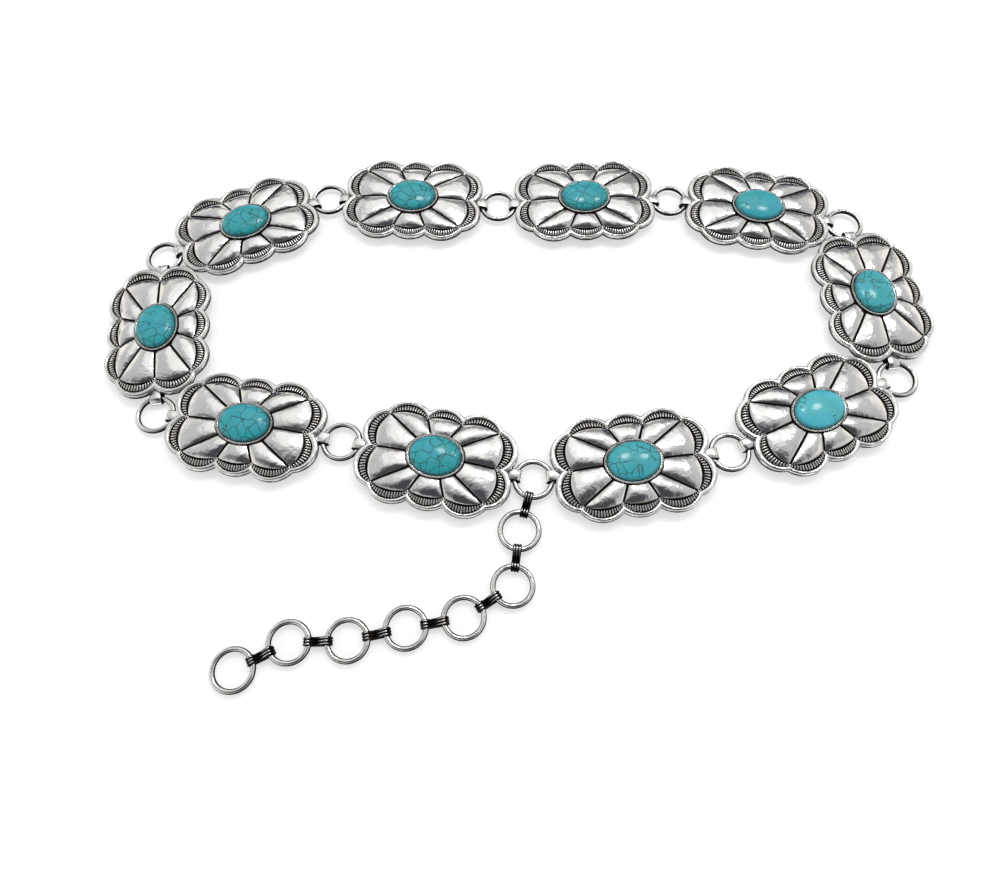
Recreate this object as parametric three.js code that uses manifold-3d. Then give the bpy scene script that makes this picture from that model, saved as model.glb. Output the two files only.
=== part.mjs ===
// Concho belt: ten scalloped silver plates, each with an oval stone, joined by round rings,
// with a tail of rings and triple wire links hanging from the front ring. Millimetres, +Z up.
// It lies flat and closed, resting on the loops under the plates and on the links of the tail.
import * as THREE from "three";
import { mergeVertices } from "three/addons/utils/BufferGeometryUtils.js";
import Module from "manifold-3d";

const wasm = await Module();
wasm.setup();

const radians = THREE.MathUtils.degToRad;

// Plate, long side along its own X. The spoke's top and foot are where the crescents begin along
// it, and the pillow's crest is how far out a petal is highest, all as shares
const PLATE_LENGTH = 65.2;
const PLATE_WIDTH = 45.2;
const EDGE_HEIGHT = 2.3;
const RIM_WIDTH_END = 1.9;
const RIM_WIDTH_SIDE = 1.4;
const RIM_ROUND = 0.25;
const CRESCENT_WIDTH_END = 3.9;
const CRESCENT_WIDTH_SIDE = 3.4;
const CRESCENT_DEPTH = 1.1;
const SPOKE_LENGTH = 4.7;
const SPOKE_TOP = 0.2;
const SPOKE_FOOT = 0.12;
const PETAL_RISE = 0.6;
const PILLOW_HEIGHT = 1.0;
const PILLOW_CREST = 0.6;
const GROOVE_DEPTH = 0.6;
const UNDERSIDE_RISE = 1.4;

// Bezel and stone
const BEZEL_LENGTH = 25;
const BEZEL_WIDTH = 19.5;
const BEZEL_WALL = 1.1;
const BEZEL_HEIGHT = 1.5;
const SEAT_DEPTH = 0.2;
const STONE_HEIGHT = 3.9;
const STONE_GIRDLE = 1.4;

// Round wire rings, and the strip bent round them at each end of a plate
const RING_DIAMETER = 17.5;
const RING_WIRE = 2.1;
const TAB_WIDTH = 5;
const TAB_THICKNESS = 1.1;
const TAB_STANDOFF = 3.5;
const TAB_ROOT = 6;
const TAB_RETURN = 4.4;
const HOOK_RETURN = 2.4;

// Triple wire links of the tail
const LINK_WIRE = 1.1;
const LINK_WIRES = 3;
const LINK_GAP = 4.75;
const LINK_LAP = 0.2;
const LINK_TUCK = 1.0;

const CLEARANCE = 0.3;

// The way that the belt lies: the heading of each plate from ring to ring, and of each ring of the
// tail from the one before it, in degrees from X. The last two plates close the loop.
const ROUTE = {
  plates: [165, 168, 94.5, 21, -6.5, -1.5, -13.5, -87],
  tail: [-108, -100, -150, -173, -171, 179, -156],
};

// Ends of the ten grooves, as shares of the plate's half length and half width, and the length of
// the rim's spoke outside each, as a share of the spoke at the ends
const NOTCH_END = { along: 0.767, across: 0, spoke: 1, outward: 0 };
const NOTCH_CORNER = { along: 0.713, across: 0.686, spoke: 0.49, outward: 47 };
const NOTCH_SIDE = { along: 0.228, across: 0.713, spoke: 0.79, outward: 90 };
const NOTCHES = [
  { kind: NOTCH_END, x: 1, y: 1 },
  { kind: NOTCH_CORNER, x: 1, y: 1 },
  { kind: NOTCH_SIDE, x: 1, y: 1 },
  { kind: NOTCH_SIDE, x: -1, y: 1 },
  { kind: NOTCH_CORNER, x: -1, y: 1 },
  { kind: NOTCH_END, x: -1, y: 1 },
  { kind: NOTCH_CORNER, x: -1, y: -1 },
  { kind: NOTCH_SIDE, x: -1, y: -1 },
  { kind: NOTCH_SIDE, x: 1, y: -1 },
  { kind: NOTCH_CORNER, x: 1, y: -1 },
];

const STEPS_PER_SCALLOP = 4;
const RING_SIDES = 12;
const WIRE_SIDES = 6;
const STONE_SIDES = 16;
const DOME_STEPS = 2;
const BEND_STEPS = 5;

// Heights above the surface that the belt lies on
const ringRadius = (RING_DIAMETER - RING_WIRE) / 2;
const wireHeight = Math.max(TAB_THICKNESS, LINK_WIRE) + CLEARANCE + RING_WIRE / 2;
const plateBase = wireHeight + RING_WIRE / 2 + CLEARANCE;
const rimTop = plateBase + EDGE_HEIGHT;
const bezelFoot = rimTop + PETAL_RISE;
const bezelTop = bezelFoot + BEZEL_HEIGHT;
const stoneSeat = bezelFoot - SEAT_DEPTH;

// Distances along the plate's own X
const valleyX = (PLATE_LENGTH / 2) * NOTCH_END.along + SPOKE_LENGTH;
const wireX = valleyX + TAB_STANDOFF;
const reach = wireX + ringRadius;
const tabBendX = reach - wireAcross(TAB_WIDTH);
const tabOuterRadius = wireHeight;
const tabInnerRadius = wireHeight - TAB_THICKNESS;

// From the middle of a ring to its wire, where the edge of a band of the given width crosses it
function wireAcross(width) {
  const inner = ringRadius * Math.cos(Math.PI / RING_SIDES);
  return Math.sqrt(inner ** 2 - (width / 2) ** 2);
}

function mix(a, b, share) {
  return a + (b - a) * share;
}

function solidOf(geometry) {
  const plain = geometry.clone();
  plain.deleteAttribute("normal");
  plain.deleteAttribute("uv");
  const merged = mergeVertices(plain, 1e-4);
  const triangles = [];
  for (let i = 0; i < merged.index.count; i += 3) {
    const corners = [0, 1, 2].map((k) => merged.index.getX(i + k));
    if (new Set(corners).size === 3) triangles.push(...corners);
  }
  return new wasm.Manifold(new wasm.Mesh({
    numProp: 3,
    vertProperties: new Float32Array(merged.attributes.position.array),
    triVerts: new Uint32Array(triangles),
  }));
}

function geometryOf(solid) {
  const mesh = solid.getMesh();
  const geometry = new THREE.BufferGeometry();
  geometry.setAttribute("position", new THREE.BufferAttribute(new Float32Array(mesh.vertProperties), 3));
  geometry.setIndex(new THREE.BufferAttribute(new Uint32Array(mesh.triVerts), 1));
  geometry.computeVertexNormals();
  return geometry;
}

function notchPoint(index, spokeShare) {
  const { kind, x, y } = NOTCHES[index % NOTCHES.length];
  const spoke = SPOKE_LENGTH * kind.spoke * spokeShare;
  const outward = radians(kind.outward);
  return new THREE.Vector2(
    x * ((PLATE_LENGTH / 2) * kind.along + spoke * Math.cos(outward)),
    y * ((PLATE_WIDTH / 2) * kind.across + spoke * Math.sin(outward)),
  );
}

function isEndScallop(index) {
  const next = NOTCHES[(index + 1) % NOTCHES.length];
  return NOTCHES[index].kind === NOTCH_END || next.kind === NOTCH_END;
}

// Arc of one scallop, bulging until it stands the given inset inside the plate's length or width
function scallopPoint(index, share, spokeShare, inset) {
  const from = notchPoint(index, spokeShare);
  const to = notchPoint(index + 1, spokeShare);
  const chord = to.clone().sub(from);
  const half = chord.length() / 2;
  const along = chord.normalize();
  const outward = new THREE.Vector2(along.y, -along.x);
  const middle = from.clone().add(to).multiplyScalar(0.5);
  const bulge = isEndScallop(index)
    ? (PLATE_LENGTH / 2 - inset - Math.abs(middle.x)) / Math.abs(outward.x)
    : (PLATE_WIDTH / 2 - inset - Math.abs(middle.y)) / Math.abs(outward.y);
  const radius = (half ** 2 + bulge ** 2) / (2 * bulge);
  const turn = 2 * Math.atan2(bulge, half) * (2 * share - 1);
  return middle
    .addScaledVector(along, radius * Math.sin(turn))
    .addScaledVector(outward, radius * Math.cos(turn) - radius + bulge);
}

// Point of an oval in the direction that lies between two grooves
function ovalPoint(index, share, length, width) {
  const from = notchPoint(index, 0).angle();
  const to = notchPoint(index + 1, 0).angle();
  const angle = mix(from, to < from ? to + 2 * Math.PI : to, share);
  const radius = 1 / Math.hypot(Math.cos(angle) / (length / 2), Math.sin(angle) / (width / 2));
  return new THREE.Vector2(radius * Math.cos(angle), radius * Math.sin(angle));
}

const petalInset = (index) => isEndScallop(index)
  ? RIM_WIDTH_END + CRESCENT_WIDTH_END
  : RIM_WIDTH_SIDE + CRESCENT_WIDTH_SIDE;
const rimInset = (index) => (isEndScallop(index) ? RIM_WIDTH_END : RIM_WIDTH_SIDE);
const petalEdge = (index, share) => scallopPoint(index, share, 0, petalInset(index));
const bezelEdge = (index, share) => ovalPoint(index, share, BEZEL_LENGTH, BEZEL_WIDTH);
const seatEdge = (index, share) =>
  ovalPoint(index, share, BEZEL_LENGTH - 2 * BEZEL_WALL, BEZEL_WIDTH - 2 * BEZEL_WALL);

// How high a petal stands between its grooves, from 0 in a groove to 1 at its middle
const pillow = (share) => 1 - (2 * share - 1) ** 2;
const crescentSink = (share) => (share === 0 ? 0 : CRESCENT_DEPTH);

// Contours of the plate from the middle of its underside, over the edge, to the middle of its top
const CONTOURS = [
  () => [new THREE.Vector2(), plateBase + UNDERSIDE_RISE],
  (i, t) => [scallopPoint(i, t, 1, 0), plateBase],
  (i, t) => [scallopPoint(i, t, 1, RIM_ROUND), rimTop],
  (i, t) => [scallopPoint(i, t, SPOKE_TOP, rimInset(i)), rimTop],
  (i, t) => [scallopPoint(i, t, SPOKE_FOOT, rimInset(i) + RIM_ROUND), rimTop - crescentSink(t)],
  (i, t) => [petalEdge(i, t), rimTop - crescentSink(t)],
  (i, t) => [
    bezelEdge(i, t).lerp(petalEdge(i, t), PILLOW_CREST),
    mix(bezelFoot, rimTop, PILLOW_CREST) - GROOVE_DEPTH + (GROOVE_DEPTH + PILLOW_HEIGHT) * pillow(t),
  ],
  (i, t) => [bezelEdge(i, t), bezelFoot - GROOVE_DEPTH * (1 - pillow(t))],
  (i, t) => [bezelEdge(i, t), bezelTop],
  (i, t) => [seatEdge(i, t), bezelTop],
  (i, t) => [seatEdge(i, t), stoneSeat],
  () => [new THREE.Vector2(), stoneSeat],
];

// The plate is a lathed disc whose rings of vertices are laid on the contours
function plateSolid() {
  const last = CONTOURS.length - 1;
  const profile = CONTOURS.map((contour, k) => new THREE.Vector2(k === 0 || k === last ? 0 : 1, k));
  const disc = new THREE.LatheGeometry(profile, NOTCHES.length * STEPS_PER_SCALLOP);
  const position = disc.attributes.position;
  for (let vertex = 0; vertex < position.count; vertex += 1) {
    const step = Math.floor(vertex / CONTOURS.length) % (NOTCHES.length * STEPS_PER_SCALLOP);
    const scallop = Math.floor(step / STEPS_PER_SCALLOP);
    const share = (step % STEPS_PER_SCALLOP) / STEPS_PER_SCALLOP;
    const [point, height] = CONTOURS[vertex % CONTOURS.length](scallop, share);
    position.setXYZ(vertex, point.x, point.y, height);
  }
  return solidOf(disc);
}

// Side view of the strip: out from under the plate, over the ring's wire, under it and back
function tabOutline(open) {
  const rootX = valleyX - TAB_ROOT;
  const returnX = tabBendX - TAB_RETURN;
  const outline = new THREE.Shape();
  outline.moveTo(rootX, wireHeight + tabOuterRadius);
  outline.lineTo(tabBendX, wireHeight + tabOuterRadius);
  outline.absarc(tabBendX, wireHeight, tabOuterRadius, Math.PI / 2, -Math.PI / 2, true);
  if (open) {
    outline.lineTo(tabBendX - HOOK_RETURN, wireHeight - tabOuterRadius);
    outline.lineTo(tabBendX - HOOK_RETURN, wireHeight - tabInnerRadius);
  } else {
    outline.lineTo(returnX, wireHeight - tabOuterRadius);
    outline.lineTo(returnX - plateBase, plateBase + CLEARANCE);
    outline.lineTo(returnX - plateBase + TAB_THICKNESS * Math.SQRT2, plateBase + CLEARANCE);
    outline.lineTo(returnX + TAB_THICKNESS * (Math.SQRT2 - 1), wireHeight - tabInnerRadius);
  }
  outline.lineTo(tabBendX, wireHeight - tabInnerRadius);
  outline.absarc(tabBendX, wireHeight, tabInnerRadius, -Math.PI / 2, Math.PI / 2, false);
  outline.lineTo(rootX, wireHeight + tabInnerRadius);
  return outline;
}

function tabSolid(open, turn) {
  const strip = new THREE.ExtrudeGeometry(tabOutline(open), {
    depth: TAB_WIDTH, bevelEnabled: false, curveSegments: BEND_STEPS,
  });
  strip.rotateX(Math.PI / 2);
  strip.translate(0, TAB_WIDTH / 2, 0);
  strip.rotateZ(turn);
  return solidOf(strip);
}

function conchoGeometry(hooked) {
  return geometryOf(plateSolid().add(tabSolid(hooked, 0)).add(tabSolid(false, Math.PI)));
}

// Cabochon: a short girdle and a dome, turned and then stretched into an oval
function stoneGeometry() {
  const bottom = stoneSeat + CLEARANCE;
  const dome = STONE_HEIGHT - STONE_GIRDLE;
  const profile = [new THREE.Vector2(0, bottom), new THREE.Vector2(1, bottom)];
  for (let step = 0; step <= DOME_STEPS; step += 1) {
    const turn = (step / DOME_STEPS) * (Math.PI / 2);
    profile.push(new THREE.Vector2(Math.cos(turn), bottom + STONE_GIRDLE + dome * Math.sin(turn)));
  }
  profile[profile.length - 1].x = 0;
  const stone = new THREE.LatheGeometry(profile, STONE_SIDES);
  stone.rotateX(Math.PI / 2);
  const inset = BEZEL_WALL + CLEARANCE;
  stone.scale(BEZEL_LENGTH / 2 - inset, BEZEL_WIDTH / 2 - inset, 1);
  return geometryOf(solidOf(stone));
}

function ringGeometry() {
  return new THREE.TorusGeometry(ringRadius, RING_WIRE / 2, WIRE_SIDES, RING_SIDES);
}

// Section across the wires, which lie side by side and are soldered into one band: its Y points
// into the band's loop, where the band is flat
function linkSection() {
  const radius = LINK_WIRE / 2;
  const half = radius * LINK_WIRES;
  const section = new THREE.Shape();
  section.moveTo(half, 0);
  section.lineTo(half - radius, radius);
  section.lineTo(radius - half, radius);
  section.lineTo(-half, 0);
  for (let wire = 0; wire < LINK_WIRES; wire += 1) {
    const x = (2 * wire + 1) * radius - half;
    section.lineTo(x, -radius);
    if (wire < LINK_WIRES - 1) section.lineTo(x + radius, -radius / 2);
  }
  return section;
}

// Side view of the band: one end lies on top, the other is tucked under it
function linkRoute() {
  const bendX = LINK_GAP / 2 + RING_DIAMETER / 2 - wireAcross(LINK_WIRE * LINK_WIRES);
  const radius = wireHeight - LINK_WIRE / 2;
  const top = wireHeight + radius;
  const route = new THREE.Path();
  route.moveTo(LINK_LAP, top);
  route.lineTo(-bendX, top);
  route.absarc(-bendX, wireHeight, radius, Math.PI / 2, 1.5 * Math.PI, false);
  route.lineTo(bendX, wireHeight - radius);
  route.absarc(bendX, wireHeight, radius, -Math.PI / 2, Math.PI / 2, false);
  route.lineTo(LINK_GAP / 2, top);
  route.lineTo(-LINK_TUCK, 1.5 * LINK_WIRE + CLEARANCE);
  return route;
}

// A curve whose steps are its own points, close together in the bends and far apart between them
class PointByPointCurve extends THREE.CatmullRomCurve3 {
  getUtoTmapping(u) {
    return u;
  }
}

function linkGeometry() {
  const points = linkRoute().getPoints(BEND_STEPS / 2);
  const curve = new PointByPointCurve(points.map((point) => new THREE.Vector3(point.x, point.y, 0)));
  const band = new THREE.ExtrudeGeometry(linkSection(), { steps: points.length - 1, extrudePath: curve });
  return band.rotateX(Math.PI / 2);
}

function silver() {
  return new THREE.MeshStandardMaterial({ color: 0xc9c9c6, roughness: 0.28, metalness: 1 });
}

function turquoise() {
  return new THREE.MeshStandardMaterial({ color: 0x47a9b3, roughness: 0.3, metalness: 0 });
}

function place(group, name, geometry, material, middle, heading, height) {
  const mesh = new THREE.Mesh(geometry, material);
  mesh.name = name;
  mesh.position.set(middle.x, middle.y, height);
  mesh.rotation.z = heading;
  group.add(mesh);
}

const ahead = (from, heading, distance) =>
  from.clone().add(new THREE.Vector2(Math.cos(heading), Math.sin(heading)).multiplyScalar(distance));

// Headings of all the plates: the last two fold just enough to come back to the front ring
function plateHeadings() {
  const headings = ROUTE.plates.map(radians);
  const open = headings.reduce((point, heading) => ahead(point, heading, 2 * reach), new THREE.Vector2());
  const home = open.clone().negate();
  const fold = Math.acos(home.length() / (4 * reach));
  return [...headings, home.angle() + fold, home.angle() - fold];
}

function buildBelt() {
  const belt = new THREE.Group();
  const headings = plateHeadings();
  const concho = conchoGeometry(false);
  const stone = stoneGeometry();
  const ring = ringGeometry();
  let point = new THREE.Vector2();
  headings.forEach((heading, k) => {
    const middle = ahead(point, heading, reach);
    const geometry = k === headings.length - 1 ? conchoGeometry(true) : concho;
    place(belt, `ring_${k + 1}`, ring, silver(), point, heading, wireHeight);
    place(belt, `concho_${k + 1}`, geometry, silver(), middle, heading, 0);
    place(belt, `stone_${k + 1}`, stone, turquoise(), middle, heading, 0);
    point = ahead(middle, heading, reach);
  });
  return belt;
}

function buildTail() {
  const tail = new THREE.Group();
  const ring = ringGeometry();
  const link = linkGeometry();
  const pitch = RING_DIAMETER + LINK_GAP;
  let point = new THREE.Vector2();
  ROUTE.tail.map(radians).forEach((heading, k) => {
    const middle = ahead(point, heading, pitch / 2);
    point = ahead(point, heading, pitch);
    place(tail, `triple_link_${k + 1}`, link, silver(), middle, heading, 0);
    place(tail, `chain_ring_${k + 1}`, ring, silver(), point, heading, wireHeight);
  });
  return tail;
}

// The whole lies with the middle of its base at the origin
const whole = new THREE.Group();
whole.add(buildBelt(), buildTail());
whole.updateMatrixWorld(true);
const bounds = new THREE.Box3().setFromObject(whole, true);
const centre = bounds.getCenter(new THREE.Vector3());
whole.position.set(-centre.x, -centre.y, -bounds.min.z);

const model = new THREE.Group();
model.add(whole);

export default model;
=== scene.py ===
import bisect
import math
import random

import bmesh
import bpy
from mathutils import Matrix, Vector


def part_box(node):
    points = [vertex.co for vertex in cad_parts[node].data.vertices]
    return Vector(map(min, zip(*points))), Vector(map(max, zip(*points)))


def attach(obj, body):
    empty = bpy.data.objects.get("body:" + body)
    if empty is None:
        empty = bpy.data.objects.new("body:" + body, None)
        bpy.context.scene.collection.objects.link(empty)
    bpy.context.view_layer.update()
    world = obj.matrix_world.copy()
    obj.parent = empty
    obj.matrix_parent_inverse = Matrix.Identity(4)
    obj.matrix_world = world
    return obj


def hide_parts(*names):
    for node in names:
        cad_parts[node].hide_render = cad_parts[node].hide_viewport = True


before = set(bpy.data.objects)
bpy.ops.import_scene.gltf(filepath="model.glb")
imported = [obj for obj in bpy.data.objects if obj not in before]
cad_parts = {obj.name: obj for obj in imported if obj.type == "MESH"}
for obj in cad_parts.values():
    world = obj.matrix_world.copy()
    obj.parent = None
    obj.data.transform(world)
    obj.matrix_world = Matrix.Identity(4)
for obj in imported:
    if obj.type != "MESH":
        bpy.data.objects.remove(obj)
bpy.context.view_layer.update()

# Plates. Each is one silver casting with ten scallops: a raised round rim that runs inwards as a
# spoke at every notch, sunk black crescents with rows of raised ridges, and ten puffed petals parted
# by straight grooves. All sizes are in millimetres.

PLATE_LENGTH = 65.2
PLATE_WIDTH = 45.2
PLATE_BASE = 3.8
RIM_TOP = 6.1
RIM_WIDTH_END = 1.9
RIM_WIDTH_SIDE = 1.4
RIM_ROUND = 0.3
RIM_CROWN = 0.3
RIM_EDGE_PAINTED_SHADE = 0.52
CRESCENT_WIDTH_END = 4.1
CRESCENT_WIDTH_SIDE = 3.7
CRESCENT_DEPTH = 1.1
CRESCENT_RISE = 0.8
SPOKE_LENGTH = 4.7
PETAL_FOOT = 7.3
PETAL_CREST = 7.6
CREST_SHARE = 0.30
GROOVE_AT_BEZEL = 6.7
GROOVE_AT_NOTCH = 5.8
GROOVE_LINE = 0.78
BEZEL_LINE = 0.35
PETAL_EDGE_LINE = 0.42
UNDERSIDE_RISE = 1.2
BEZEL_LENGTH = 24.4
BEZEL_WIDTH = 19.5
RIDGES = 15
RIDGE_MARGIN = 0.06
RIDGE_START = 0.22
RIDGE_END = 0.90
RIDGE_HALF_WIDTH = 0.31
RIDGE_TAPER = 0.22
RIDGE_HEIGHT = 0.38
RIDGE_LIFT = 0.20
SCALLOPS = 10
STEPS = 32

# Share of the half length and half width at which each kind of notch lies, the length of its spoke
# as a share of the longest, and the way that the spoke points, in degrees from the long axis
END = (0.767, 0.0, 1.0, 0)
CORNER = (0.713, 0.686, 0.49, 47)
SIDE = (0.228, 0.713, 0.79, 90)
NOTCHES = [
    (END, 1, 1), (CORNER, 1, 1), (SIDE, 1, 1), (SIDE, -1, 1), (CORNER, -1, 1),
    (END, -1, 1), (CORNER, -1, -1), (SIDE, -1, -1), (SIDE, 1, -1), (CORNER, 1, -1),
]


def new_shape():
    """An empty mesh that carries the darkness at each vertex, 0 for polished and 1 for black: patina, and
    in places painted shade.
    """
    shape = bmesh.new()
    shape.verts.layers.float.new("patina_and_painted_shade")
    return shape


def soft_step(value):
    value = min(max(value, 0.0), 1.0)
    return value * value * (3 - 2 * value)


def notch_point(index, spoke_share):
    """The notch before a scallop, moved outwards by that share of the length of its spoke."""
    (along, across, length, outward), x, y = NOTCHES[index % SCALLOPS]
    spoke = SPOKE_LENGTH * length * spoke_share
    turn = math.radians(outward)
    return Vector((
        x * (PLATE_LENGTH / 2 * along + spoke * math.cos(turn)),
        y * (PLATE_WIDTH / 2 * across + spoke * math.sin(turn)),
    ))


def at_end(index):
    """Whether the scallop is one of the four round the plate's ends."""
    return END in (NOTCHES[index][0], NOTCHES[(index + 1) % SCALLOPS][0])


def scallop_point(index, share, spoke_share, inset):
    """A point of one scallop's arc, whose top stands that far inside the plate's length or width."""
    start = notch_point(index, spoke_share)
    end = notch_point(index + 1, spoke_share)
    half = (end - start).length / 2
    along = (end - start).normalized()
    outward = Vector((along.y, -along.x))
    middle = (start + end) / 2
    if at_end(index):
        bulge = (PLATE_LENGTH / 2 - inset - abs(middle.x)) / abs(outward.x)
    else:
        bulge = (PLATE_WIDTH / 2 - inset - abs(middle.y)) / abs(outward.y)
    radius = (half ** 2 + bulge ** 2) / (2 * bulge)
    turn = 2 * math.atan2(bulge, half) * (2 * share - 1)
    return middle + along * radius * math.sin(turn) + outward * (radius * math.cos(turn) - radius + bulge)


def oval_point(index, share, length, width):
    """The point of an oval between two grooves, at that share of the angle from one to the next."""
    start = math.atan2(*reversed(notch_point(index, 0)))
    end = math.atan2(*reversed(notch_point(index + 1, 0)))
    angle = start + ((end - start) % (2 * math.pi)) * share
    radius = 1 / math.hypot(2 * math.cos(angle) / length, 2 * math.sin(angle) / width)
    return Vector((radius * math.cos(angle), radius * math.sin(angle)))


def rim_inset(index):
    """How far inside the plate's outline the rim ends."""
    return RIM_WIDTH_END if at_end(index) else RIM_WIDTH_SIDE


def petal_edge(index, share):
    """Where the petal meets the crescent."""
    inset = RIM_WIDTH_END + CRESCENT_WIDTH_END if at_end(index) else RIM_WIDTH_SIDE + CRESCENT_WIDTH_SIDE
    return scallop_point(index, share, 0, inset)


def rim_foot(index, share):
    """Where the rim meets the crescent."""
    return scallop_point(index, share, 0.12, rim_inset(index) + RIM_ROUND)


def sunk_at(share):
    """1 along the crescent and 0 at both its tips, where it runs out into the spokes."""
    return soft_step(min(share, 1 - share) / 0.05)


def crescent_floor(share, across):
    """The height of the floor, which rises a little from the rim, 0 across, to the petal, 1 across."""
    return RIM_TOP - (CRESCENT_DEPTH - CRESCENT_RISE * across) * sunk_at(share)


def under_point(index, share, way):
    """Over the hollow underside, from its middle to the lip at its edge."""
    plan = scallop_point(index, share, 1, 0) * way
    lip = soft_step((1 - way) / 0.12)
    return plan, PLATE_BASE + UNDERSIDE_RISE * lip, 1.0


def wall_point(index, share, way):
    """From the bottom edge to the top one, leaning in a little. It is black low down and grey above, part
    patina and part painted shade, with a painted dark line under the rim and painted shade at the rim's
    outer edge.
    """
    lean = RIM_ROUND * way ** 3
    height = PLATE_BASE + (RIM_TOP - RIM_CROWN - PLATE_BASE) * way
    foot = 1 - 0.58 * soft_step((way - 0.35) / 0.15)
    top = soft_step((way - 0.72) / 0.10)
    line = 0.9 * max(0.0, 1 - abs(way - 0.72) / 0.14)
    edge = RIM_EDGE_PAINTED_SHADE * soft_step((way - 0.85) / 0.15)
    return scallop_point(index, share, 1, lean), height, max(foot * (1 - top), line, edge)


def rim_point(index, share, way):
    """Across the top of the rim, from its outer edge to its inner one."""
    outer = scallop_point(index, share, 1, RIM_ROUND)
    inner = scallop_point(index, share, 0.2, rim_inset(index))
    crown = abs(2 * way - 1) ** 2.6
    # Painted shade: the rim's outer edge is darkened to a thin dark outline.
    dark = RIM_EDGE_PAINTED_SHADE * (1 - soft_step(way / 0.3))
    return outer.lerp(inner, way), RIM_TOP - RIM_CROWN * crown, dark


def crescent_point(index, share, way):
    """Down the inside of the rim, then over the crescent's floor to the foot of the petal."""
    foot = rim_foot(index, share)
    sunk = sunk_at(share)
    if way < 0.25:
        inner = scallop_point(index, share, 0.2, rim_inset(index))
        drop = way / 0.25
        top = RIM_TOP - RIM_CROWN * (1 if sunk > 0 else 0.5)
        height = top + (crescent_floor(share, 0) - top) * drop
        return inner.lerp(foot, drop), height, sunk * soft_step(drop * 1.6)
    across = (way - 0.25) / 0.75
    return foot.lerp(petal_edge(index, share), across), crescent_floor(share, across), sunk


def petal_point(index, share, way):
    """Over the petal from its outer edge to the bezel: puffed, and parted from its neighbours."""
    outer = petal_edge(index, share)
    inner = oval_point(index, share, BEZEL_LENGTH, BEZEL_WIDTH)
    out = 1 - way
    plan = inner.lerp(outer, out)
    groove = GROOVE_AT_BEZEL + (GROOVE_AT_NOTCH - GROOVE_AT_BEZEL) * out
    if out < CREST_SHARE:
        back = PETAL_FOOT + (PETAL_CREST - PETAL_FOOT) * math.sin(math.pi / 2 * out / CREST_SHARE)
    else:
        fall = (out - CREST_SHARE) / (1 - CREST_SHARE)
        edge = crescent_floor(share, 1) + 0.1
        back = edge + (PETAL_CREST - edge) * (1 - fall ** 2.1) ** 0.72
    puff = (1 - abs(2 * share - 1) ** 2.2) ** 0.62
    near = 0 if share < 0.5 else 1
    line = oval_point(index, near, BEZEL_LENGTH, BEZEL_WIDTH).lerp(petal_edge(index, near), out)
    from_groove = (plan - line).length / GROOVE_LINE
    from_bezel = (plan - inner).length / BEZEL_LINE
    from_edge = (plan - outer).length / PETAL_EDGE_LINE
    edge_dark = sunk_at(share) * (1 - soft_step(from_edge))
    dark = max(1 - soft_step(from_groove - 0.2), 1 - soft_step(from_bezel), edge_dark)
    return plan, groove + (back - groove) * puff, dark


def seat_point(index, share, way):
    """Under the bezel and the stone, where the plate is plain and dark."""
    return oval_point(index, share, BEZEL_LENGTH, BEZEL_WIDTH) * (1 - way), GROOVE_AT_BEZEL, 1.0


def rows(point, first, last, count):
    return [(point, first + (last - first) * k / (count - 1)) for k in range(count)]


# The rows of vertices, from the middle of the underside out to the rim and back in to the middle of
# the top. Each line says the part of the relief, its first and last share and its number of rows
ROWS = (
    rows(under_point, 0.0, 1.0, 8)
    + rows(wall_point, 0.08, 1.0, 9)
    + rows(rim_point, 0.12, 1.0, 7)
    + rows(crescent_point, 0.08, 1.0, 8)
    + rows(petal_point, 0.015, 0.12, 4)
    + rows(petal_point, 0.17, 1.0, 17)
    + rows(seat_point, 0.1, 1.0, 3)
)


def plate_body():
    """A disc spun from a row of vertices, whose rings are then laid on the rows of the relief."""
    shape = new_shape()
    chain = [
        shape.verts.new((0.0 if k in (0, len(ROWS) - 1) else 1.0, 0.0, k)) for k in range(len(ROWS))
    ]
    links = [shape.edges.new(pair) for pair in zip(chain, chain[1:])]
    bmesh.ops.spin(
        shape, geom=chain + links, cent=(0, 0, 0), axis=(0, 0, 1), dvec=(0, 0, 0),
        angle=2 * math.pi, steps=SCALLOPS * STEPS, use_merge=True, use_normal_flip=False,
        use_duplicate=False,
    )
    bmesh.ops.remove_doubles(shape, verts=shape.verts[:], dist=1e-5)
    patina_and_painted_shade = shape.verts.layers.float["patina_and_painted_shade"]
    for vertex in shape.verts:
        point, way = ROWS[round(vertex.co.z)]
        turn = math.atan2(vertex.co.y, vertex.co.x) % (2 * math.pi)
        step = round(turn / (2 * math.pi) * SCALLOPS * STEPS) % (SCALLOPS * STEPS)
        share = 0.5 - 0.5 * math.cos(math.pi * (step % STEPS) / STEPS)
        plan, height, dark = point(step // STEPS, share, way)
        vertex.co = (plan.x, plan.y, height)
        vertex[patina_and_painted_shade] = dark
    return shape


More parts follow.
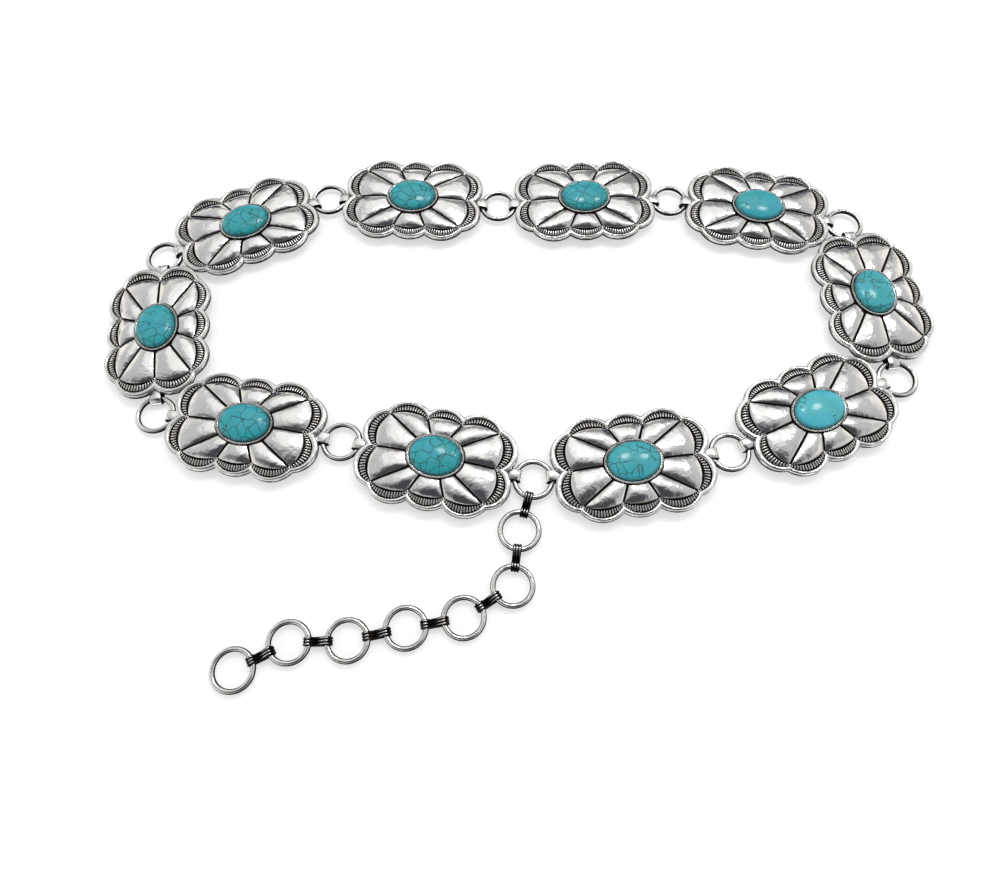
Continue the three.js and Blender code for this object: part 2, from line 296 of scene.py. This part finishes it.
def ridges():
    """Rows of small rounded bars, which point from the petal to the rim."""
    shape = new_shape()
    patina_and_painted_shade = shape.verts.layers.float["patina_and_painted_shade"]
    for index in range(SCALLOPS):
        for number in range(RIDGES):
            share = RIDGE_MARGIN + (1 - 2 * RIDGE_MARGIN) * number / (RIDGES - 1)
            inner = petal_edge(index, share)
            outer = rim_foot(index, share)
            start = inner.lerp(outer, RIDGE_START)
            end = inner.lerp(outer, RIDGE_END)
            length = (end - start).length / 2
            middle = (start + end) / 2
            way = math.atan2(end.y - start.y, end.x - start.x)
            bar = bmesh.ops.create_uvsphere(shape, u_segments=12, v_segments=6, radius=1)["verts"]
            for vertex in bar:
                x, y, z = vertex.co
                blunt = math.copysign(abs(z) ** 0.45, z)
                broad = math.copysign(abs(x) ** 0.5, x) * (1 + RIDGE_TAPER * blunt)
                tall = math.copysign(abs(y) ** 0.35, y)
                vertex[patina_and_painted_shade] = 0.0 if y > -0.2 else 1.0
                out = RIDGE_START + (RIDGE_END - RIDGE_START) * (1 + blunt) / 2
                floor = crescent_floor(share, 1 - out)
                height = floor + RIDGE_LIFT + tall * RIDGE_HEIGHT
                vertex.co = (blunt * length, broad * RIDGE_HALF_WIDTH, height)
            place = Matrix.Translation((middle.x, middle.y, 0)) @ Matrix.Rotation(way, 4, "Z")
            bmesh.ops.transform(shape, matrix=place, verts=bar)
    return shape


# Bezel. A strip of silver bent round the stone and soldered to the plate, its top edge burnished in
# over the stone. A row of fine beads, milled on a wire, runs round the outside of its top.

BEZEL_WALL = 1.3
BEZEL_INSET = 0.1
BEZEL_FOOT = 5.7
BEZEL_TOP = 7.9
BEZEL_ROWS = 12
BEZEL_STEPS = 120
BEADS = 84
BEAD_TOP = 8.25
BEAD_ACROSS = 0.45
BEAD_ALONG = 0.39
BEAD_HEIGHT = 0.45


def bezel_wall():
    """A round section is spun into a ring, whose vertices are then laid on the squarer wall."""
    shape = new_shape()
    spun_at = 3
    section = bmesh.ops.create_circle(shape, cap_ends=False, radius=1, segments=BEZEL_ROWS)["verts"]
    upright = Matrix.Translation((spun_at, 0, 0)) @ Matrix.Rotation(math.pi / 2, 4, "X")
    bmesh.ops.transform(shape, matrix=upright, verts=section)
    bmesh.ops.spin(
        shape, geom=section + shape.edges[:], cent=(0, 0, 0), axis=(0, 0, 1), dvec=(0, 0, 0),
        angle=2 * math.pi, steps=BEZEL_STEPS, use_merge=True, use_normal_flip=False,
        use_duplicate=False,
    )
    patina_and_painted_shade = shape.verts.layers.float["patina_and_painted_shade"]
    for vertex in shape.verts:
        turn = math.atan2(vertex.co.y, vertex.co.x)
        out = math.hypot(vertex.co.x, vertex.co.y) - spun_at
        up = vertex.co.z
        offset = BEZEL_INSET + BEZEL_WALL / 2 * (1 - math.copysign(abs(out) ** 0.5, out))
        vertex.co = (
            (BEZEL_LENGTH / 2 - offset) * math.cos(turn),
            (BEZEL_WIDTH / 2 - offset) * math.sin(turn),
            BEZEL_FOOT + (BEZEL_TOP - BEZEL_FOOT) / 2 * (1 + math.copysign(abs(up) ** 0.7, up)),
        )
        vertex[patina_and_painted_shade] = 1 - 0.55 * soft_step((up - 0.5) / 0.4)
    return shape


def bead_turns():
    """The angles at which the beads lie equally far apart along the oval."""
    steps = 3600
    walked = [0.0]
    for step in range(steps):
        turn = 2 * math.pi * (step + 0.5) / steps
        pace = math.hypot(BEZEL_LENGTH * math.sin(turn), BEZEL_WIDTH * math.cos(turn))
        walked.append(walked[-1] + pace)
    marks = [walked[-1] * (bead + 0.5) / BEADS for bead in range(BEADS)]
    return [2 * math.pi * bisect.bisect(walked, mark) / steps for mark in marks]


def beads():
    """Small balls, set close together in a row round the outside of the wall's top."""
    shape = new_shape()
    patina_and_painted_shade = shape.verts.layers.float["patina_and_painted_shade"]
    for turn in bead_turns():
        ball = bmesh.ops.create_uvsphere(shape, u_segments=8, v_segments=6, radius=1)["verts"]
        for vertex in ball:
            vertex[patina_and_painted_shade] = 1 - soft_step((vertex.co.z - 0.22) / 0.55)
        x = (BEZEL_LENGTH / 2 - BEAD_ACROSS) * math.cos(turn)
        y = (BEZEL_WIDTH / 2 - BEAD_ACROSS) * math.sin(turn)
        outward = math.atan2(BEZEL_LENGTH * math.sin(turn), BEZEL_WIDTH * math.cos(turn))
        place = (
            Matrix.Translation((x, y, BEAD_TOP - BEAD_HEIGHT)) @ Matrix.Rotation(outward, 4, "Z")
            @ Matrix.Diagonal((BEAD_ACROSS, BEAD_ALONG, BEAD_HEIGHT, 1))
        )
        bmesh.ops.transform(shape, matrix=place, verts=ball)
    return shape


# Strips. A flat strip is soldered under each end of a plate and bent round the wire of a ring: the
# way that the plates hold together. On the last plate, one strip is left open as the hook.

STRIP_WIDTH = 5.0
STRIP_THICKNESS = 1.1
STRIP_ROOT = 23.7
STRIP_BEND = 33.9
STRIP_RETURN = 4.4
HOOK_RETURN = 2.4
STRIP_EDGE = 0.45
STRIP_EDGE_PAINTED_SHADE = 0.75
STRIP_CROWN = 0.35
BEND_STEPS = 12
WIRE_HEIGHT = 2.45


def strip_outline(is_open):
    """The strip seen from its side: over the ring's wire, round it and back under the plate."""
    outer = WIRE_HEIGHT
    inner = WIRE_HEIGHT - STRIP_THICKNESS
    turns = [math.pi / 2 - math.pi * k / BEND_STEPS for k in range(BEND_STEPS + 1)]
    outside = [(STRIP_BEND + outer * math.cos(t), WIRE_HEIGHT + outer * math.sin(t)) for t in turns]
    inside = [(STRIP_BEND + inner * math.cos(t), WIRE_HEIGHT + inner * math.sin(t)) for t in turns]
    if is_open:
        tip = [(STRIP_BEND - HOOK_RETURN, 0), (STRIP_BEND - HOOK_RETURN, STRIP_THICKNESS)]
    else:
        back = STRIP_BEND - STRIP_RETURN
        slant = STRIP_THICKNESS * math.sqrt(2)
        rise = PLATE_BASE + 0.3
        tip = [
            (back, 0), (back - PLATE_BASE, rise),
            (back - PLATE_BASE + slant, rise), (back + slant - STRIP_THICKNESS, STRIP_THICKNESS),
        ]
    root = [(STRIP_ROOT, WIRE_HEIGHT + inner), (STRIP_ROOT, WIRE_HEIGHT + outer)]
    return outside + tip + inside[::-1] + root


def strip(is_open, heading):
    """The outline is drawn out to the strip's width, its edges are rounded and its face is crowned."""
    shape = new_shape()
    points = [(x, -STRIP_WIDTH / 2, z) for x, z in strip_outline(is_open)]
    side = shape.faces.new([shape.verts.new(point) for point in points])
    grown = bmesh.ops.extrude_face_region(shape, geom=[side])["geom"]
    far = [item for item in grown if isinstance(item, bmesh.types.BMVert)]
    bmesh.ops.translate(shape, verts=far, vec=(0, STRIP_WIDTH, 0))
    near_edges = [edge for edge in shape.edges if set(edge.verts) <= set(side.verts)]
    far_edges = [edge for edge in shape.edges if set(edge.verts) <= set(far)]
    bmesh.ops.bevel(
        shape, geom=near_edges + far_edges, offset=STRIP_EDGE, segments=3, profile=0.5,
        affect="EDGES", material=-1, clamp_overlap=True,
    )
    patina_and_painted_shade = shape.verts.layers.float["patina_and_painted_shade"]
    axis = Vector((STRIP_BEND, 0, WIRE_HEIGHT))
    shaded_to = PLATE_LENGTH / 2 * END[0] + SPOKE_LENGTH + 0.9
    for vertex in shape.verts:
        spread = Vector((max(vertex.co.x, STRIP_BEND - 2), 0, vertex.co.z)) - axis
        if spread.length > WIRE_HEIGHT - STRIP_THICKNESS * 0.6:
            vertex.co -= spread.normalized() * STRIP_CROWN * (2 * vertex.co.y / STRIP_WIDTH) ** 2
        # Painted shadow under the plate's rim and painted shade along both side edges; the strip is also
        # darker towards the bottom.
        painted_rim_shadow = soft_step((shaded_to - vertex.co.x) / 0.7)
        low = 1 - soft_step((vertex.co.z - 1.6) / 1.2)
        edge = STRIP_EDGE_PAINTED_SHADE * soft_step((abs(vertex.co.y) - 1.9) / 0.5)
        vertex[patina_and_painted_shade] = max(painted_rim_shadow, low, edge)
    bmesh.ops.rotate(
        shape, verts=shape.verts[:], cent=(0, 0, 0), matrix=Matrix.Rotation(heading, 3, "Z")
    )
    return shape


# Conchos. Plate, bezel and strips are soldered together, so each concho is one piece of silver. It is
# polished on the high parts, with a black sulphide patina left in the grooves. Low on the sides it is
# black too, part patina and part painted shade. Ten of them lie between the rings, and the last one
# has the hook.


class Flow:
    """A shader socket, on which sums and products add Math nodes."""

    def __init__(self, finish, socket):
        self.finish = finish
        self.socket = socket

    def maths(self, operation, left, right):
        return self.finish.node("ShaderNodeMath", {"operation": operation}, {0: left, 1: right})

    def __add__(self, other):
        return self.maths("ADD", self, other)

    def __radd__(self, other):
        return self.maths("ADD", other, self)

    def __sub__(self, other):
        return self.maths("SUBTRACT", self, other)

    def __rsub__(self, other):
        return self.maths("SUBTRACT", other, self)

    def __mul__(self, other):
        return self.maths("MULTIPLY", self, other)

    def between(self, low, high):
        """0 at low, 1 at high, with soft ends."""
        settings = {"interpolation_type": "SMOOTHSTEP", "clamp": True}
        inputs = {"Value": self, "From Min": low, "From Max": high}
        return self.finish.node("ShaderNodeMapRange", settings, inputs)


class Finish:
    """The nodes of a material or of the room's light, round the one shader that it has."""

    def __init__(self, owner, shader="Principled BSDF"):
        owner.use_nodes = True
        self.owner = owner
        self.tree = owner.node_tree
        self.shader = self.tree.nodes[shader]

    def node(self, kind, settings, inputs, output=0):
        made = self.tree.nodes.new(kind)
        for name, value in settings.items():
            setattr(made, name, value)
        for name, value in inputs.items():
            self.feed(made.inputs[name], value)
        return Flow(self, made.outputs[output])

    def feed(self, socket, value):
        if isinstance(value, Flow):
            self.tree.links.new(value.socket, socket)
        else:
            socket.default_value = value

    def set(self, values):
        for name, value in values.items():
            self.feed(self.shader.inputs[name], value)

    def place(self):
        return self.node("ShaderNodeTexCoord", {}, {}, "Object")

    def noise(self, scale, detail, where=None):
        inputs = {"Vector": where or self.place(), "Scale": scale, "Detail": detail}
        return self.node("ShaderNodeTexNoise", {}, inputs)

    def along(self, direction, way):
        """The cosine of the angle between a direction and a fixed way."""
        settings = {"operation": "DOT_PRODUCT"}
        inputs = {0: direction, 1: Vector(way).normalized()}
        return self.node("ShaderNodeVectorMath", settings, inputs, "Value")

    def blend(self, share, first, second):
        settings = {"data_type": "RGBA", "blend_type": "MIX"}
        return self.node("ShaderNodeMix", settings, {0: share, 6: first, 7: second}, 2)

    def bump(self, height, distance):
        inputs = {"Height": height, "Distance": distance, "Strength": 1.0}
        return self.node("ShaderNodeBump", {}, inputs)


def silver():
    """The patina and painted shade come from the vertices, and noise breaks up their edge and the polish.
    """
    bright = (0.90, 0.89, 0.87, 1)
    warm = (0.80, 0.78, 0.74, 1)
    black = (0.005, 0.004, 0.005, 1)
    brown = (0.030, 0.020, 0.014, 1)
    finish = Finish(bpy.data.materials.new("antique_silver"))
    mark = finish.node("ShaderNodeAttribute", {"attribute_name": "patina_and_painted_shade"}, {}, "Fac")
    grain = finish.noise(1400, 4.0)
    cloud = finish.noise(160, 3.0)
    patina_and_painted_shade = (mark + (grain - 0.5) * 0.22 + (cloud - 0.5) * 0.5).between(0.36, 0.60)
    metal = finish.blend(cloud.between(0.42, 0.72) * 0.6, bright, warm)
    tarnish = finish.blend(cloud.between(0.50, 0.70), black, brown)
    dents = finish.noise(230, 2.0)
    drawn_out = {"Vector": finish.place(), "Rotation": (0, 0, 0.6), "Scale": (1, 14, 1)}
    scratch_place = finish.node("ShaderNodeMapping", {}, drawn_out)
    scratch = finish.noise(420, 2.0, scratch_place)
    finish.set({
        "Base Color": finish.blend(patina_and_painted_shade, metal, tarnish),
        "Metallic": 1 - patina_and_painted_shade,
        "Roughness": 0.08 + cloud * 0.08 + scratch.between(0.55, 0.75) * 0.10 + patina_and_painted_shade * 0.35,
        "Specular IOR Level": 0.06,
        "Normal": finish.bump(dents + scratch * 0.03, 0.00032),
    })
    return finish.owner


def middle_of(node):
    low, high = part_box(node)
    return (Vector(low) + Vector(high)) / 2


def heading_between(first, second):
    way = middle_of(second) - middle_of(first)
    return math.atan2(way.y, way.x)


def joined(*shapes):
    """One mesh of several, each left as a closed body of its own."""
    whole = new_shape()
    for shape in shapes:
        mesh = bpy.data.meshes.new("part")
        shape.to_mesh(mesh)
        whole.from_mesh(mesh)
        bpy.data.meshes.remove(mesh)
    bmesh.ops.recalc_face_normals(whole, faces=whole.faces[:])
    return whole


def new_piece(name, shape, material, node, heading):
    """A mesh made about the origin in millimetres, turned and carried to the middle of its node."""
    mesh = bpy.data.meshes.new(name)
    shape.to_mesh(mesh)
    centre = middle_of(node)
    centre.z = 0
    mesh.transform(Matrix.Translation(centre) @ Matrix.Rotation(heading, 4, "Z") @ Matrix.Scale(MM, 4))
    mesh.shade_smooth()
    mesh.materials.append(material)
    piece = bpy.data.objects.new(name, mesh)
    bpy.context.scene.collection.objects.link(piece)
    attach(piece, "root")
    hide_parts(node)


MM = 0.001
PLATES = 10
SILVER = silver()
casting = joined(plate_body(), ridges(), bezel_wall(), beads(), strip(False, math.pi))
plain_plate = joined(casting, strip(False, 0))
hooked_plate = joined(casting, strip(True, 0))
for number in range(1, PLATES + 1):
    ahead = number % PLATES + 1
    turn = heading_between(f"ring_{number}", f"ring_{ahead}")
    shape = hooked_plate if number == PLATES else plain_plate
    node = f"concho_{number}"
    new_piece(f"plate_{number}", shape, SILVER, node, turn)


# Stones. Oval cabochons of dyed turquoise, domed and polished, held by the bezel. Most are crossed
# by a net of fine dark veins, some by only a few, and two are almost plain.

STONE_LENGTH = 21.7
STONE_WIDTH = 16.8
STONE_BOTTOM = 6.8
STONE_GIRDLE = 1.4
STONE_DOME = 2.5
STONE_SIDES = 72
DOME_STEPS = 14


def turquoise(name, crackle, cell, red, light):
    blue = (red, 0.560 * light, 0.680 * light, 1)
    green = (red * 0.96, 0.530 * light, 0.570 * light, 1)
    pale = (red + 0.09, 0.660 * light, 0.700 * light, 1)
    vein = (0.010, 0.110, 0.120, 1)
    rust = (0.16, 0.17, 0.05, 1)
    finish = Finish(bpy.data.materials.new(name))
    place = finish.place()
    sway = finish.node("ShaderNodeTexNoise", {}, {"Vector": place, "Scale": 260, "Detail": 2}, "Color")
    shift = finish.node(
        "ShaderNodeVectorMath", {"operation": "SCALE"}, {0: sway, "Scale": 0.0022}
    )
    bent = finish.node("ShaderNodeVectorMath", {"operation": "ADD"}, {0: place, 1: shift})
    edge = finish.node(
        "ShaderNodeTexVoronoi", {"feature": "DISTANCE_TO_EDGE", "voronoi_dimensions": "3D"},
        {"Vector": bent, "Scale": 1 / cell}, "Distance",
    )
    fade = finish.noise(150, 2.0).between(0.62 - 0.35 * crackle, 0.70 - 0.25 * crackle)
    lines = (1 - edge.between(0.010, 0.055)) * fade
    halo = (1 - edge.between(0.02, 0.20)) * fade * 0.35
    cloud = finish.noise(110, 3.0)
    body = finish.blend(cloud.between(0.40, 0.68), blue, green)
    body = finish.blend(finish.noise(300, 3.0).between(0.50, 0.75) * 0.5, body, pale)
    body = finish.blend(halo, body, green)
    body = finish.blend(lines * 0.85, body, vein)
    # Painted shade: the stone darkens towards its edge, next to the bezel.
    painted_edge_shade = finish.node("ShaderNodeAttribute", {"attribute_name": "patina_and_painted_shade"}, {}, "Fac")
    body = finish.blend(painted_edge_shade * 0.62, body, vein)
    spot = finish.noise(95, 1.0).between(0.72, 0.78) * 0.5
    finish.set({
        "Base Color": finish.blend(spot, body, rust),
        "Roughness": 0.14 + lines * 0.25,
        "Normal": finish.bump(1 - lines, 0.00005),
    })
    return finish.owner


def stone_shape():
    """A round dome on a low girdle, spun from its profile and then stretched to the oval."""
    shape = new_shape()
    profile = [(0, STONE_BOTTOM), (0.97, STONE_BOTTOM), (1, STONE_BOTTOM + 0.1)]
    for step in range(DOME_STEPS + 1):
        turn = math.pi / 2 * step / DOME_STEPS
        profile.append((math.cos(turn), STONE_BOTTOM + STONE_GIRDLE + STONE_DOME * math.sin(turn)))
    chain = [shape.verts.new((x, 0, z)) for x, z in profile]
    chain[-1].co.x = 0
    links = [shape.edges.new(pair) for pair in zip(chain, chain[1:])]
    bmesh.ops.spin(
        shape, geom=chain + links, cent=(0, 0, 0), axis=(0, 0, 1), dvec=(0, 0, 0),
        angle=2 * math.pi, steps=STONE_SIDES, use_merge=True, use_normal_flip=False,
        use_duplicate=False,
    )
    patina_and_painted_shade = shape.verts.layers.float["patina_and_painted_shade"]
    # The painted shade at the edge of the dome, read by the stone's material.
    for vertex in shape.verts:
        out = math.hypot(vertex.co.x, vertex.co.y)
        vertex[patina_and_painted_shade] = soft_step((out - 0.86) / 0.14)
    bmesh.ops.scale(shape, verts=shape.verts[:], vec=(STONE_LENGTH / 2, STONE_WIDTH / 2, 1))
    bmesh.ops.remove_doubles(shape, verts=shape.verts[:], dist=1e-4)
    bmesh.ops.recalc_face_normals(shape, faces=shape.faces[:])
    return shape


VEINED = turquoise("turquoise_veined", 1.0, 0.0046, 0.054, 0.98)
FAINT = turquoise("turquoise_faint", 0.55, 0.0052, 0.086, 1.11)
PLAIN = turquoise("turquoise_plain", 0.15, 0.0060, 0.072, 1.03)
PALE = turquoise("turquoise_pale", 0.15, 0.0060, 0.128, 1.32)
STONE_FINISHES = [VEINED, VEINED, VEINED, VEINED, VEINED, VEINED, PLAIN, FAINT, PALE, FAINT]
cabochon = stone_shape()
for number, finish in enumerate(STONE_FINISHES, 1):
    ahead = number % PLATES + 1
    turn = heading_between(f"ring_{number}", f"ring_{ahead}")
    new_piece(f"cabochon_{number}", cabochon, finish, f"stone_{number}", turn)


# Rings. Round silver wire bent into a ring and soldered shut, with the seam left showing as a fine
# dark line. They join the plates, and carry the tail.

RING_DIAMETER = 17.5
RING_WIRE = 2.1
RING_SIDES = 72
WIRE_SIDES = 24
TAIL_RINGS = 7
SEAM_HALF_WIDTH = 0.7
RING_SHADE_AND_PATINA_BELOW = 0.56
RING_FADE = 0.30


def ring_shape():
    """A wire spun into a ring. At the seam the two rows beside the black one are drawn close to it."""
    shape = new_shape()
    patina_and_painted_shade = shape.verts.layers.float["patina_and_painted_shade"]
    radius = (RING_DIAMETER - RING_WIRE) / 2
    bmesh.ops.create_circle(shape, cap_ends=False, radius=RING_WIRE / 2, segments=WIRE_SIDES)
    upright = Matrix.Translation((radius, 0, 0)) @ Matrix.Rotation(math.pi / 2, 4, "X")
    bmesh.ops.transform(shape, matrix=upright, verts=shape.verts[:])
    bmesh.ops.spin(
        shape, geom=shape.verts[:] + shape.edges[:], cent=(0, 0, 0), axis=(0, 0, 1),
        dvec=(0, 0, 0), angle=2 * math.pi, steps=RING_SIDES, use_merge=True,
        use_normal_flip=False, use_duplicate=False,
    )
    for vertex in shape.verts:
        turn = math.degrees(math.atan2(vertex.co.y, vertex.co.x))
        height = vertex.co.z / (RING_WIRE / 2)
        at_seam = abs(turn) < 0.1
        # Black below the wire's crest: part patina and part painted shade that stands in for dark
        # reflections on the sides. The seam is black all round.
        vertex[patina_and_painted_shade] = 1.0 if at_seam else 1 - soft_step((height - RING_SHADE_AND_PATINA_BELOW) / RING_FADE)
        if 0.1 < abs(turn) < 360 / RING_SIDES + 0.1:
            closer = math.radians(turn * (SEAM_HALF_WIDTH / abs(turn) - 1))
            vertex.co.rotate(Matrix.Rotation(closer, 3, "Z"))
    bmesh.ops.translate(shape, verts=shape.verts[:], vec=(0, 0, WIRE_HEIGHT))
    bmesh.ops.recalc_face_normals(shape, faces=shape.faces[:])
    return shape


ring = ring_shape()
seam_turns = random.Random(11)
for number in range(1, PLATES + 1):
    turn = seam_turns.uniform(0, 2 * math.pi)
    new_piece(f"belt_ring_{number}", ring, SILVER, f"ring_{number}", turn)
for number in range(1, TAIL_RINGS + 1):
    turn = seam_turns.uniform(0, 2 * math.pi)
    new_piece(f"tail_ring_{number}", ring, SILVER, f"chain_ring_{number}", turn)


# Triple links. Three silver wires side by side are wrapped round two rings of the tail, one end of
# them lying over the other, and soldered. They are black, part patina and part painted shade, but for
# a bright line along each crest that is part rubbed wear and part painted highlight.

LINK_WIRE = 1.1
LINK_WIRES = 3
LINK_BEND = 3.45
LINK_REACH = 1.65
LINK_MIDDLE_TOP = 3.2
LINK_TUCK = 1.2


def link_route():
    """One wire seen from its side: from its cut end over one ring, under both, and back."""
    radius = WIRE_HEIGHT - LINK_WIRE / 2
    turns = [math.pi * k / BEND_STEPS for k in range(BEND_STEPS + 1)]
    left = [(-LINK_BEND - LINK_REACH * math.sin(t), WIRE_HEIGHT + radius * math.cos(t)) for t in turns]
    right = [(LINK_BEND + LINK_REACH * math.sin(t), WIRE_HEIGHT - radius * math.cos(t)) for t in turns]
    top = WIRE_HEIGHT + radius
    start = [(0.9, LINK_MIDDLE_TOP), (-0.8, LINK_MIDDLE_TOP + 0.15), (-2.2, top - 0.25)]
    end = [(2.4, top - 0.25), (1.2, LINK_MIDDLE_TOP - 0.6), (-LINK_TUCK, 2.05)]
    return start + left + right + end


def link_shape():
    """Three wires on one route, side by side. Each has a painted highlight along its upward-facing crest,
    partly rubbed wear, brightest where it is high.
    """
    line = bpy.data.curves.new("link_wire", "CURVE")
    line.dimensions = "3D"
    line.bevel_depth = LINK_WIRE / 2
    line.bevel_resolution = 4
    line.use_fill_caps = True
    for wire in range(LINK_WIRES):
        across = (wire - (LINK_WIRES - 1) / 2) * LINK_WIRE
        route = link_route()
        path = line.splines.new("POLY")
        path.points.add(len(route) - 1)
        for point, (x, z) in zip(path.points, route):
            point.co = (x, across, z, 1)
    holder = bpy.data.objects.new("link_wire", line)
    shape = bmesh.new()
    mesh = holder.to_mesh()
    shape.from_mesh(mesh)
    holder.to_mesh_clear()
    bpy.data.objects.remove(holder)
    bpy.data.curves.remove(line)
    bmesh.ops.remove_doubles(shape, verts=shape.verts[:], dist=1e-4)
    bmesh.ops.recalc_face_normals(shape, faces=shape.faces[:])
    shape.normal_update()
    patina_and_painted_shade = shape.verts.layers.float.new("patina_and_painted_shade")
    for vertex in shape.verts:
        rubbed_and_lit = soft_step((vertex.normal.z - 0.78) / 0.20)
        height = 0.52 + 0.48 * soft_step((vertex.co.z - 4.0) / 0.5)
        vertex[patina_and_painted_shade] = 1 - rubbed_and_lit * height
    return shape


link = link_shape()
for number in range(1, TAIL_RINGS + 1):
    before = "ring_1" if number == 1 else f"chain_ring_{number - 1}"
    turn = heading_between(before, f"chain_ring_{number}")
    new_piece(f"link_{number}", link, SILVER, f"triple_link_{number}", turn)


# Floor. A plain pale sheet under the belt, lit a little from below, as on a light table.


def pale_floor():
    shape = bmesh.new()
    bmesh.ops.create_grid(shape, x_segments=1, y_segments=1, size=4)
    mesh = bpy.data.meshes.new("floor")
    shape.to_mesh(mesh)
    shape.free()
    finish = Finish(bpy.data.materials.new("pale_floor"))
    finish.set({
        "Base Color": (0.93, 0.93, 0.93, 1),
        "Roughness": 0.9,
        "Specular IOR Level": 0.0,
        "Emission Color": (1, 1, 1, 1),
        "Emission Strength": 0.55,
    })
    mesh.materials.append(finish.owner)
    floor = bpy.data.objects.new("floor", mesh)
    bpy.context.scene.collection.objects.link(floor)


pale_floor()


# Light. A pale room, whose grey and dark parts are mirrored in the silver, and two round soft boxes
# overhead and a little behind, which show as soft spots on the stones.

BOX_SIZE = 0.20
BOX_POWER = 0.9


def room():
    """Light by direction. Only the reflections see it: the camera itself looks at a white backdrop."""
    wall = (1.06, 1.03, 0.96, 1)
    ceiling = (0.55, 0.56, 0.58, 1)
    shade = (0.16, 0.16, 0.18, 1)
    opening = (0.06, 0.06, 0.07, 1)
    panel = (0.96, 0.96, 0.96, 1)
    backdrop = (1, 1, 1, 1)
    near_side = (0.15, 0.135, 0.12, 1)
    curtain = (0.030, 0.048, 0.070, 1)
    world = bpy.data.worlds.new("room")
    bpy.context.scene.world = world
    finish = Finish(world, "Background")
    direction = finish.node("ShaderNodeTexCoord", {}, {}, "Generated")
    height = finish.along(direction, (0, 0, 1))
    sway = finish.noise(2.2, 2.0, direction) - 0.5
    colour = finish.blend((height + sway * 0.35).between(0.30, 0.72), wall, ceiling)
    colour = finish.blend(finish.noise(1.6, 1.0, direction).between(0.49, 0.66) * 0.8, colour, shade)
    behind = finish.along(direction, (0, 0.52, 0.85)) + sway * 0.10
    colour = finish.blend(behind.between(0.88, 0.97), colour, panel)
    towards = finish.along(direction, (-0.02, -0.40, 0.92)) + sway * 0.05
    colour = finish.blend(towards.between(0.80, 0.955), colour, opening)
    low = finish.along(direction, (0, -1, 0.05)) + sway * 0.2
    colour = finish.blend(low.between(0.78, 0.95), colour, near_side)
    for side in (-1, 1):
        far_corner = finish.along(direction, (side * 0.46, 0.87, 0.10)) + sway * 0.06
        colour = finish.blend(far_corner.between(0.935, 0.985), colour, curtain)
    straight = finish.node("ShaderNodeLightPath", {}, {}, "Is Camera Ray")
    finish.set({"Color": finish.blend(straight, colour, backdrop), "Strength": 1.0})


def soft_box(name, place):
    light = bpy.data.lights.new(name, "AREA")
    light.shape = "DISK"
    light.size = BOX_SIZE
    light.energy = BOX_POWER
    lamp = bpy.data.objects.new(name, light)
    lamp.location = place
    lamp.rotation_euler = (-Vector(place)).to_track_quat("-Z", "Y").to_euler()
    bpy.context.scene.collection.objects.link(lamp)


room()
bpy.context.scene.view_settings.view_transform = "Standard"
soft_box("left_box", (0.03, 0.45, 0.95))
soft_box("right_box", (0.45, 0.42, 0.95))


# Camera. It stands over the near side of the belt and looks steeply down, as in the photograph.

CAMERA_PLACE = (-9.2, -149.9, 294.6)
CAMERA_DOWN = 66.97
CAMERA_ROLL = -2.97
CAMERA_LENS = 27.33


def camera():
    data = bpy.data.cameras.new("camera")
    data.sensor_fit = "HORIZONTAL"
    data.sensor_width = 36
    data.lens = CAMERA_LENS
    data.clip_start = 0.01
    seen = bpy.data.objects.new("camera", data)
    seen.matrix_world = (
        Matrix.Translation(Vector(CAMERA_PLACE) * MM)
        @ Matrix.Rotation(math.radians(90 - CAMERA_DOWN), 4, "X")
        @ Matrix.Rotation(math.radians(CAMERA_ROLL), 4, "Z")
    )
    bpy.context.scene.collection.objects.link(seen)
    bpy.context.scene.camera = seen


camera()
